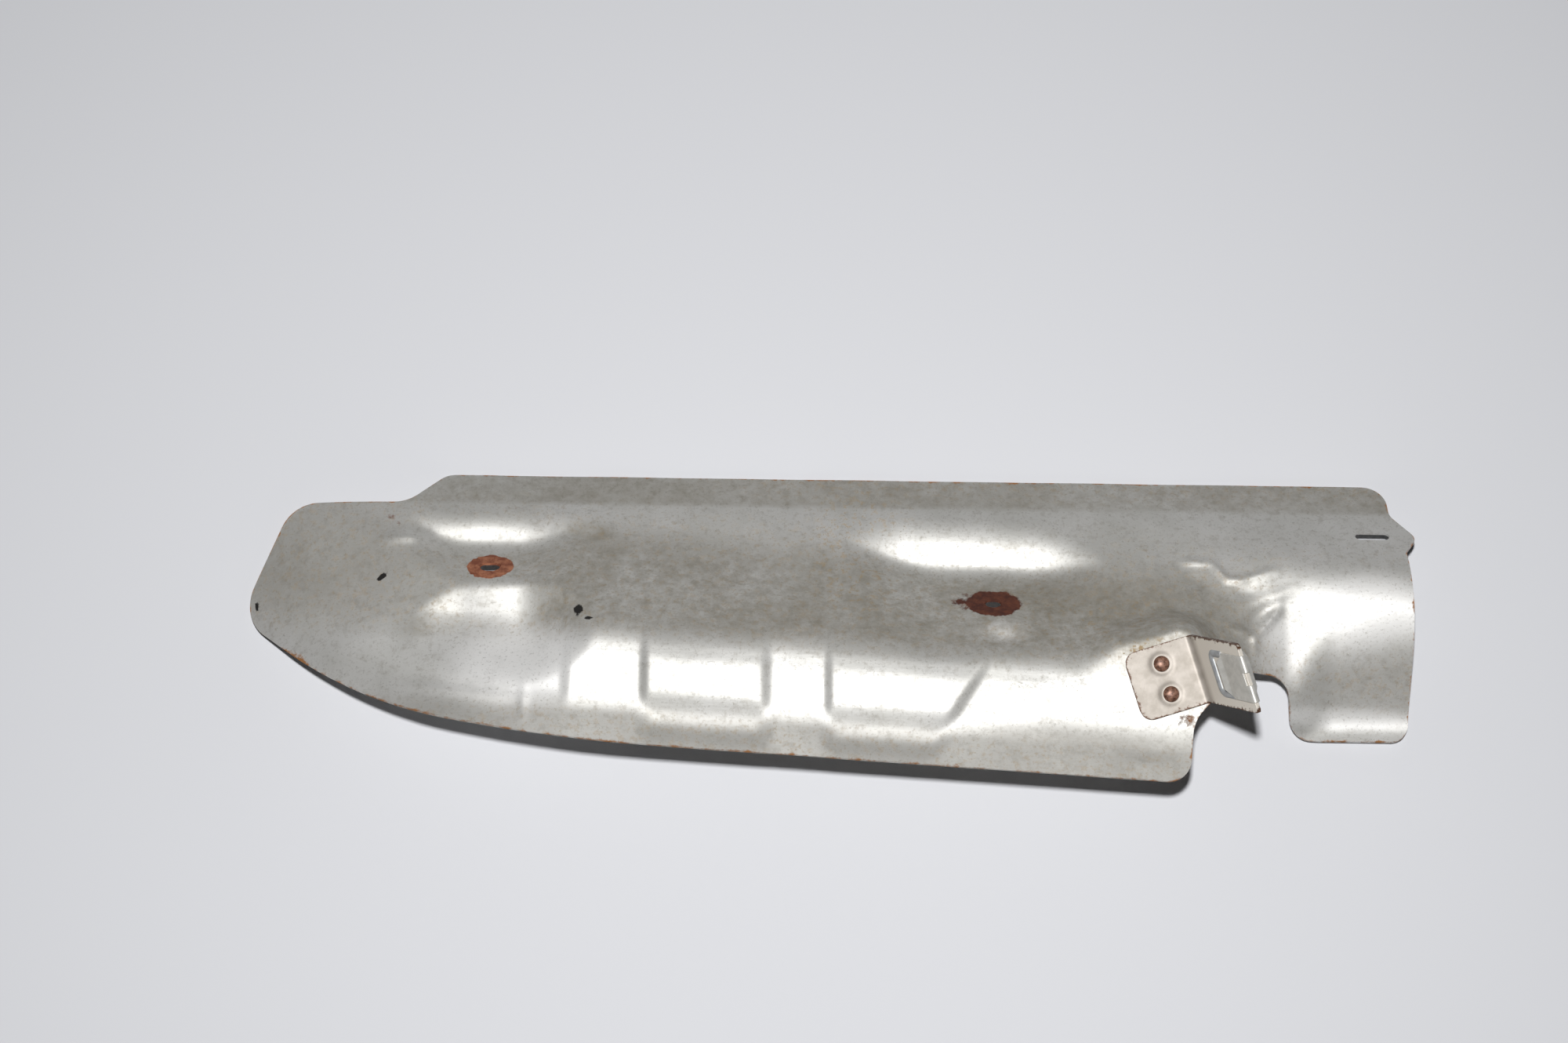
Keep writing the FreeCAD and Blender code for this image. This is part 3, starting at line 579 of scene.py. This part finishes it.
def aluminised_steel():
    """Layers over layers; a finish is a colour with metallic in red and roughness in green."""
    material, tree, output = new_material("aluminised steel, pressed and weathered")
    place = add(tree, "TexCoord", {}, out="Object")
    noises, fields = {}, {}
    for name, (size, detail) in GRAINS.items():
        settings = {"Vector": place, "Scale": 1000.0 / size, "Detail": detail, "Roughness": 0.67}
        noises[name] = add(tree, "TexNoise", settings)
    for name in [*FIELDS, "heat"]:
        fields[name] = add(tree, "Attribute", {}, out="Fac", attribute_name=name)
    colour, finish = to_linear("#d3d2cd"), (0.55, 0.55, 0.0, 1.0)
    for field, noise, low, high, share, over, metallic, rough in SOFT_LAYERS:
        mask = add(tree, "MapRange", {0: noises[noise], 1: low, 2: high, 4: share})
        if field:
            mask = add(tree, "Math", {0: mask, 1: fields[field]}, operation="MULTIPLY")
        colour = add(tree, "Mix", {0: mask, 6: colour, 7: to_linear(over)}, **RGBA)
        finish = add(tree, "Mix", {0: mask, 6: finish, 7: (metallic, rough, 0.0, 1.0)}, **RGBA)
    tone = add(tree, "MapRange", {0: noises["fine"], 1: 0.42, 2: 0.68})
    young = add(tree, "Math", {0: fields["fresh"], 1: noises["ragged"]}, operation="MULTIPLY")
    crust = 0.0
    for field, noise, gain, low, high, dark, light, metallic, rough in EATEN_LAYERS:
        eaten = add(tree, "Math", {0: noises[noise], 1: gain, 2: fields[field]}, operation="MULTIPLY_ADD")
        mask = add(tree, "MapRange", {0: eaten, 1: low, 2: high})
        over = add(tree, "Mix", {0: tone, 6: to_linear(dark), 7: to_linear(light)}, **RGBA)
        if field == "rust":
            over = add(tree, "Mix", {0: young, 6: over, 7: to_linear("#b9834c")}, **RGBA)
        colour = add(tree, "Mix", {0: mask, 6: colour, 7: over}, **RGBA)
        finish = add(tree, "Mix", {0: mask, 6: finish, 7: (metallic, rough, 0.0, 1.0)}, **RGBA)
        crust = add(tree, "Math", {0: mask, 1: crust}, operation="MAXIMUM")
    streaks = add(tree, "Mapping", {"Vector": place, "Scale": (0.22, 1.0, 1.0)})
    rolled = add(tree, "TexNoise", {"Vector": streaks, "Scale": 1000.0 / 1.2, "Detail": 4.0})
    relief = add(tree, "Math", {0: noises["fine"], 1: 1.4, 2: rolled}, operation="MULTIPLY_ADD")
    relief = add(tree, "Math", {0: crust, 1: 2.6, 2: relief}, operation="MULTIPLY_ADD")
    normal = add(tree, "Bump", {"Height": relief, "Strength": 0.22, "Distance": 0.00014})
    metallic = add(tree, "SeparateColor", {0: finish}, out="Red")
    rough = add(tree, "SeparateColor", {0: finish}, out="Green")
    shader = add(tree, "BsdfPrincipled", {
        "Base Color": colour, "Metallic": metallic, "Roughness": rough, "Normal": normal,
    })
    tree.links.new(shader, output.inputs["Surface"])
    return material


panel.data.materials.append(aluminised_steel())
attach(panel, "root")
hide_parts("shield_panel")
print("sheet material:", panel.data.materials[0].name)

# %% [markdown]
# ## Bracket and clip: one bent strip for both
# The bracket and the clip are cut from strip and folded, so each is a line in side
# view, carried across its width and given a thickness. One function makes such a
# strip; its two sides may run in and out along the line, which gives rounded or
# chamfered corners. The pieces are drawn in the frame of the flat land they stand
# on: u along the foot, v across it, w up from the sheet.

# %% Frame of the land and the bent strip
LAND = np.array([FOOT_X, -FOOT_S, face_plane(FOOT_S - SKEW * FOOT_X)])
land_up = np.array([-SKEW * FACE_FALL, -FACE_FALL, 1.0])
land_up /= np.linalg.norm(land_up)
land_u = np.array([math.cos(FOOT_TURN), math.sin(FOOT_TURN), 0.0])
land_u -= land_up * (land_u @ land_up)
land_u /= np.linalg.norm(land_u)
land_v = np.cross(land_up, land_u)


def from_land(u, v, w):
    """Points of the land's frame in millimetres to the row frame in metres."""
    place = LAND + np.multiply.outer(u, land_u) + np.multiply.outer(v, land_v)
    return (place + np.multiply.outer(w, land_up) + SHIFT) / 1000.0


def along_path(corners, radii, spacing):
    """Line through corners, each rounded by an arc of its radius, as even points."""
    points = np.array(corners, dtype=float)
    line = [points[:1]]
    for i in range(1, len(points) - 1):
        back, on = points[i - 1] - points[i], points[i + 1] - points[i]
        back, on = back / np.linalg.norm(back), on / np.linalg.norm(on)
        half = math.acos(float(np.clip(back @ on, -1.0, 1.0))) / 2.0
        middle = (back + on) / np.linalg.norm(back + on)
        centre = points[i] + middle * radii[i] / math.sin(half)
        first = points[i] + back * radii[i] / math.tan(half) - centre
        last = points[i] + on * radii[i] / math.tan(half) - centre
        t = np.linspace(0.0, 1.0, 13)[:, None]
        arc = (1.0 - t) * first + t * last
        line.append(centre + arc / np.linalg.norm(arc, axis=1)[:, None] * radii[i])
    line = np.vstack(line + [points[-1:]])
    length = np.concatenate([[0.0], np.cumsum(np.linalg.norm(np.diff(line, axis=0), axis=1))])
    at = np.linspace(0.0, length[-1], max(2, int(round(length[-1] / spacing)) + 1))
    return np.column_stack([np.interp(at, length, line[:, k]) for k in (0, 1)]), at


def bent_strip(line, low, high, thickness, across, lift=None):
    """Slab on a side-view line (u, w): v runs from low to high at each point of the line.

    Each skin is the line moved half a thickness along its normal; lift(u, v) is added
    to the upper skin. Returns the points and the sets of faces of the closed slab.
    """
    tangent = np.gradient(line, axis=0)
    tangent /= np.linalg.norm(tangent, axis=1)[:, None]
    side = np.column_stack([-tangent[:, 1], tangent[:, 0]]) * thickness / 2.0
    part = np.linspace(0.0, 1.0, across)
    v = low[:, None] + (high - low)[:, None] * part[None, :]
    skins = []
    for sign in (1.0, -1.0):
        u = np.repeat((line[:, 0] + sign * side[:, 0])[:, None], across, axis=1)
        w = np.repeat((line[:, 1] + sign * side[:, 1])[:, None], across, axis=1)
        if lift is not None and sign > 0.0:
            w = w + lift(u, v)
        skins.append(from_land(u, v, w).reshape(-1, 3))
    n = len(line)
    index = np.arange(n * across).reshape(n, across)
    corners = [index[:-1, :-1], index[1:, :-1], index[1:, 1:], index[:-1, 1:]]
    quads = np.stack(corners, axis=-1).reshape(-1, 4)
    loop = np.concatenate([index[0, :], index[1:, -1], index[-1, -2::-1], index[-2:0:-1, 0]])
    rim = np.column_stack([loop, np.roll(loop, -1), np.roll(loop, -1) + n * across, loop + n * across])
    return np.vstack(skins), [quads, quads[:, ::-1] + n * across, rim]


def joined(pieces):
    """Several closed surfaces as one set of points and faces."""
    points, faces = [], []
    for piece_points, face_sets in pieces:
        start = sum(len(p) for p in points)
        points.append(piece_points)
        for face_set in face_sets:
            faces += (face_set + start).tolist()
    return np.vstack(points).tolist(), faces


def folded_piece(name, pieces, bevel_mm, node):
    """Object of the slabs with rounded cut edges, in the place of a solid's node."""
    made = sheet_object(name, *joined(pieces), 35.0)
    rounding = made.modifiers.new("rounded edges", "BEVEL")
    rounding.width = bevel_mm / 1000.0
    rounding.segments = 2
    rounding.limit_method = "ANGLE"
    rounding.angle_limit = math.radians(50.0)
    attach(made, "root")
    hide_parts(node)
    return made


# %% [markdown]
# ## The bracket
# A plate 25.6 mm wide lies on the sheet, turns up in a fold and stands as an upright
# whose sides lean to the front. The foot is dished round its rivets, and a frame
# pressed out of the upright stops the clip. The side view is one line with one bend;
# the frame is a half-round bead carried along a path with two rounded corners.

# %% Bracket
FOLD = math.radians(71.0)
LEAN = math.tan(math.radians(15.0))
UPRIGHT = 33.5
PLATE = 1.5
PLATE_HALF = 12.8
BRACKET_ACROSS = 45          # points across the plate
RIVETS = [(0.6, -5.75), (0.6, 5.75)]
bracket_corners = [(-12.0, PLATE / 2), (13.6, PLATE / 2),
                   (13.6 + UPRIGHT * math.cos(FOLD), PLATE / 2 + UPRIGHT * math.sin(FOLD))]
bracket_line, from_end = along_path(bracket_corners, [0.0, 2.8, 0.0], 0.6)


def rounded_in(gap, radius):
    """How far a side runs in at a gap from the end, for a corner of this radius: a circle."""
    return radius - np.sqrt(np.maximum(radius ** 2 - np.maximum(radius - gap, 0.0) ** 2, 0.0))


half_width = PLATE_HALF - rounded_in(from_end, 4.5) - rounded_in(from_end[-1] - from_end, 1.5)
leaned = LEAN * np.maximum(bracket_line[:, 1] - 1.2, 0.0) / math.sin(FOLD)


def dished(u, v):
    """Dip of a third of a millimetre in a ring round each rivet head."""
    dip = 0.0 * u
    for ru, rv in RIVETS:
        dip = dip - 0.35 * np.exp(-((np.hypot(u - ru, v - rv) - 3.2) / 1.0) ** 2)
    return np.where(u < 11.0, dip, 0.0)


def on_upright(length, v, off):
    """Row-frame points on the upright: up its length, across it, off its inner face."""
    base = bracket_corners[1]
    u = base[0] + length * math.cos(FOLD) - (off + PLATE / 2) * math.sin(FOLD)
    w = base[1] + length * math.sin(FOLD) + (off + PLATE / 2) * math.cos(FOLD)
    return u, v - LEAN * length, w


def bead(path, width, height, round_steps):
    """Half-round bar along a path of (length, v) on the upright: a half ellipse swept on it, capped."""
    tangent = np.gradient(path, axis=0)
    tangent /= np.linalg.norm(tangent, axis=1)[:, None]
    side = np.column_stack([-tangent[:, 1], tangent[:, 0]])
    turn = np.linspace(0.0, math.pi, round_steps)
    length = path[:, 0:1] + side[:, 0:1] * np.cos(turn) * width / 2.0
    v = path[:, 1:2] + side[:, 1:2] * np.cos(turn) * width / 2.0
    off = np.repeat(np.sin(turn)[None, :] * height - 0.2, len(path), axis=0)
    points = from_land(*on_upright(length, v, off)).reshape(-1, 3)
    index = np.arange(len(points)).reshape(len(path), round_steps)
    corners = [index[:-1, :-1], index[:-1, 1:], index[1:, 1:], index[1:, :-1]]
    quads = np.stack(corners, axis=-1).reshape(-1, 4)
    floor_quads = np.column_stack([index[:-1, 0], index[1:, 0], index[1:, -1], index[:-1, -1]])
    near = np.arange(round_steps // 2 - 1)
    far = round_steps - 1 - near
    cap = np.column_stack([near, near + 1, far - 1, far])
    return points, [quads, floor_quads, index[0][cap[:, ::-1]], index[-1][cap]]


low_side, high_side = -half_width - leaned, half_width - leaned
bracket_slab = bent_strip(bracket_line, low_side, high_side, PLATE, BRACKET_ACROSS, dished)
frame_corners = [(20.5, 7.6), (12.6, 7.6), (12.6, -7.6), (20.5, -7.6)]
frame_path, _ = along_path(frame_corners, [0.0, 2.2, 2.2, 0.0], 0.5)
bracket = folded_piece("bracket_plate", [bracket_slab], 0.35, "bracket")
frame_bead = sheet_object("bracket_frame", *joined([bead(frame_path, 2.8, 1.0, 10)]), 60.0)
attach(frame_bead, "root")
print("bracket:", len(bracket.data.polygons), "faces, frame bead:", len(frame_bead.data.polygons))

# %% [markdown]
# ## The rivets
# Each rivet is turned: a domed head, a shank and a closed head below. A curve of
# radius against height, turned round the rivet's axis, gives the whole of it.

# %% Rivets
def turned(profile, steps, centre):
    """Profile of (radius, height) carried round an axis at centre (u, v); its ends are the poles."""
    turn = np.linspace(0.0, 2.0 * math.pi, steps, endpoint=False)
    radius, height = profile[1:-1, 0], profile[1:-1, 1]
    u = centre[0] + np.multiply.outer(radius, np.cos(turn))
    v = centre[1] + np.multiply.outer(radius, np.sin(turn))
    w = np.repeat(height[:, None], steps, axis=1)
    poles = from_land(np.full(2, centre[0]), np.full(2, centre[1]), profile[[0, -1], 1])
    points = np.vstack([from_land(u, v, w).reshape(-1, 3), poles])
    index = np.arange(u.size).reshape(u.shape)
    on = np.roll(index, -1, axis=1)
    quads = np.stack([index[:-1], on[:-1], on[1:], index[1:]], axis=-1).reshape(-1, 4)
    low_fan = np.column_stack([on[0], index[0], np.full(steps, u.size)])
    high_fan = np.column_stack([index[-1], on[-1], np.full(steps, u.size + 1)])
    return points, [quads, low_fan, high_fan]


dome = np.linspace(0.0, 1.0, 10)[:, None] * math.pi / 2.0
rivet_profile = np.vstack([
    [(0.0, -2.2), (2.3, -2.2), (2.5, -2.0), (2.5, -1.0), (1.6, -1.0), (1.6, PLATE), (2.9, PLATE)],
    np.hstack([2.9 * np.cos(dome), PLATE + 0.25 + 1.35 * np.sin(dome)]),
])
rivets = sheet_object("rivet_pair", *joined([turned(rivet_profile, 32, place) for place in RIVETS]), 50.0)
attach(rivets, "root")
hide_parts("rivets")
print("rivets:", len(rivets.data.polygons), "faces")

# %% [markdown]
# ## The spring clip
# The clip is a strip of spring steel bent over the tip of the upright. Its front leg
# has chamfered corners and a lifted end, two straps pass over the tip with a window
# between them, and the rear leg flares out so that the clip can be pushed on. Legs
# and straps are four slabs of the same strip.

# %% Spring clip
CLIP = 0.7
CLIP_HALF = 8.6
WINDOW_HALF = 2.3


def clip_slab(corners, radii, low, high, across, start_cut=0.0, end_cut=0.0):
    """Slab of the clip on a line of (length, off) on the upright, v from low to high.

    A cut takes a 45 degree chamfer of its size off both corners at that end.
    """
    line, at = along_path(corners, radii, 0.35)
    u, v, w = on_upright(line[:, 0], 0.0 * at, line[:, 1])
    cut = np.maximum(start_cut - at, 0.0) + np.maximum(end_cut - (at[-1] - at), 0.0)
    return bent_strip(np.column_stack([u, w]), low + cut + v, high - cut + v, CLIP, across)


front_off = CLIP / 2
rear_off = -PLATE - CLIP / 2
tip = UPRIGHT + 0.1
front_leg = [(tip - 15.2, front_off + 1.3), (tip - 13.0, front_off), (tip - 0.8, front_off)]
over_tip = [(tip - 0.9, front_off), (tip + CLIP / 2, front_off),
            (tip + CLIP / 2, rear_off), (tip - 0.9, rear_off)]
rear_leg = [(tip - 0.8, rear_off), (tip - 5.0, rear_off), (tip - 9.2, rear_off - 5.6)]
front = clip_slab(front_leg, [0, 2.0, 0], -CLIP_HALF, CLIP_HALF, 13, start_cut=3.4)
straps = [clip_slab(over_tip, [0, 0.9, 0.9, 0], low, high, 7)
          for low, high in ((-CLIP_HALF, -WINDOW_HALF), (WINDOW_HALF, CLIP_HALF))]
rear = clip_slab(rear_leg, [0, 2.5, 0], -CLIP_HALF, CLIP_HALF, 13, end_cut=3.0)
clip = folded_piece("spring_clip_strip", [front, *straps, rear], 0.15, "spring_clip")
print("clip:", len(clip.data.polygons), "faces")

# %% [markdown]
# ## Finishes of the small pieces
# The bracket is pressed steel whose thin plating has gone beige, and it rusts along its cut edges; its
# upright is painted paler, a painted light for the light that falls on it. The frame on it is worn to a
# bluish grey, the rivets are rusty, and the clip is zinc-plated, paler and smoother. Rust on the plate's
# edge is found from the distance to its rim, stored as an attribute, so it follows the real edge. The
# paler tone of the upright is marked by a second attribute. The other pieces have no such attribute, and
# there it reads as zero.

# %% Materials of the small pieces
def plated_steel(name, colours, rust_low, metallic, rough, size_mm):
    """Dull plated metal: two tones in blotches of size_mm, a lighter tone painted as light where marked,
    rust near edges.
    """
    pale, dark, rusty, clean_and_lit = (to_linear(code) for code in colours)
    material, tree, output = new_material(name)
    place = add(tree, "TexCoord", {}, out="Object")
    scale = 1000.0 / size_mm
    blotch = add(tree, "TexNoise", {"Vector": place, "Scale": scale, "Detail": 6.0, "Roughness": 0.6})
    tone = add(tree, "MapRange", {0: blotch, 1: 0.36, 2: 0.62})
    colour = add(tree, "Mix", {0: tone, 6: dark, 7: pale}, **RGBA)
    # painted light: where the attribute is 1, on the bracket's upright, the lighter tone stands in for
    # the light on it
    painted_light_upright = add(tree, "Attribute", {}, out="Fac", attribute_name="painted_light_upright")
    colour = add(tree, "Mix", {0: painted_light_upright, 6: colour, 7: clean_and_lit}, **RGBA)
    flecks = add(tree, "TexNoise", {"Vector": place, "Scale": 500.0, "Detail": 8.0, "Roughness": 0.7})
    edge = add(tree, "Attribute", {}, out="Fac", attribute_name="edge")
    level = add(tree, "Math", {0: flecks, 1: edge}, operation="ADD")
    mask = add(tree, "MapRange", {0: level, 1: rust_low, 2: rust_low + 0.1})
    colour = add(tree, "Mix", {0: mask, 6: colour, 7: rusty}, **RGBA)
    normal = add(tree, "Bump", {"Height": blotch, "Strength": 0.15, "Distance": 0.0003})
    shader = add(tree, "BsdfPrincipled", {
        "Base Color": colour, "Metallic": metallic, "Roughness": rough, "Normal": normal,
    })
    tree.links.new(shader, output.inputs["Surface"])
    return material


across_part = 1.0 - np.abs(np.linspace(-1.0, 1.0, BRACKET_ACROSS))
rim_gap = np.minimum(np.multiply.outer(half_width, across_part), from_end[:, None])
edge_rust = 0.3 * np.exp(-np.tile(rim_gap.ravel(), 2) / 0.9)
# painted light: 1 on the upright, which takes the lighter tone
upright_part = np.tile(np.repeat(ramp(bracket_line[:, 1], 4.0, 5.0), BRACKET_ACROSS), 2)
for name, values in {"edge": edge_rust, "painted_light_upright": upright_part}.items():
    layer = bracket.data.attributes.new(name, "FLOAT", "POINT")
    layer.data.foreach_set("value", values.astype(np.float32))
# piece, material, (pale, dark, rust, lighter tone painted on the lit upright), where rust starts,
# metallic, roughness, blotch in mm
FINISHES = [
    # the bracket's fourth colour, #e6dfd4, is the painted lighter tone of its upright
    (bracket, "steel plate, thin plating gone beige",
     ("#b3aba2", "#9f978d", "#5f4230", "#e6dfd4"), 0.66, 0.25, 0.48, 5.0),
    (frame_bead, "steel plate, plating worn to bluish grey",
     ("#b2b5b7", "#9a9da0", "#6f5a48", "#b2b5b7"), 0.68, 0.3, 0.45, 3.0),
    (rivets, "steel rivet, rusted",
     ("#9a7360", "#4e3226", "#3a2218", "#9a7360"), 0.6, 0.3, 0.42, 1.1),
    (clip, "zinc-plated spring steel",
     ("#d2d0ca", "#c0beb8", "#8a7a5a", "#d2d0ca"), 0.7, 0.35, 0.42, 3.0),
]
for piece, *finish in FINISHES:
    piece.data.materials.append(plated_steel(*finish))
print("finishes:", [o.data.materials[0].name for o in (bracket, frame_bead, rivets, clip)])

# %% [markdown]
# ## Floor, light and camera
# The part lies on a pale matt board, an even grey with no gloss, and is lit by one
# small lamp just above the lens, so that shadows are short and every face that looks
# at the camera glows. A faint pale world keeps the darkest slopes from going black.
# The camera looks down at 75 degrees with a short telephoto lens; its axes are
# written out, because the picture is turned a little against the sheet's back edge.

# %% Floor, lamps, world and camera
floor_mesh = bpy.data.meshes.new("pale board")
floor_mesh.from_pydata([(-3, -3, 0), (3, -3, 0), (3, 3, 0), (-3, 3, 0)], [], [(0, 1, 2, 3)])
floor = bpy.data.objects.new("pale board", floor_mesh)
scene.collection.objects.link(floor)
board, tree, output = new_material("matt painted board")
shader = add(tree, "BsdfPrincipled", {"Roughness": 0.9, "Base Color": to_linear("#e2e3e7")})
tree.links.new(shader, output.inputs["Surface"])
floor_mesh.materials.append(board)

camera_place = Vector((-0.0134, -0.2445, 1.0833))
right = Vector((0.9999, 0.01414, 0.0)).normalized()
up = Vector((-0.0137, 0.9658, 0.2588)).normalized()
back = right.cross(up).normalized()
camera_data = bpy.data.cameras.new("camera")
camera_data.sensor_fit = "HORIZONTAL"
camera_data.sensor_width = 36.0
camera_data.lens = 66.6
camera = bpy.data.objects.new("camera", camera_data)
camera.matrix_world = Matrix((
    (right.x, up.x, back.x, camera_place.x),
    (right.y, up.y, back.y, camera_place.y),
    (right.z, up.z, back.z, camera_place.z),
    (0, 0, 0, 1),
))
scene.collection.objects.link(camera)
scene.camera = camera


def lamp(name, place, aim, size, power):
    """Square soft lamp of a size in metres at place, facing aim."""
    data = bpy.data.lights.new(name, "AREA")
    data.size = size
    data.energy = power
    made = bpy.data.objects.new(name, data)
    made.location = place
    made.rotation_euler = (Vector(aim) - Vector(place)).to_track_quat("-Z", "Y").to_euler()
    scene.collection.objects.link(made)
    return made


key = lamp("lamp beside the lens", camera_place + up * 0.13 + back * 0.02, (0.0, 0.02, 0.02), 0.045, 12.1)
world = bpy.data.worlds.new("pale room")
world.use_nodes = True
world.node_tree.nodes["Background"].inputs["Color"].default_value = to_linear("#f2f4f8")
world.node_tree.nodes["Background"].inputs["Strength"].default_value = 0.02
scene.world = world
scene.view_settings.view_transform = "Standard"
print("camera at", [round(v, 3) for v in camera_place], "lens", round(camera_data.lens, 1), "mm")

# %% [markdown]
# ## Finish
# The view layer is brought up to date before the frame is closed.

# %% Finish
bpy.context.view_layer.update()
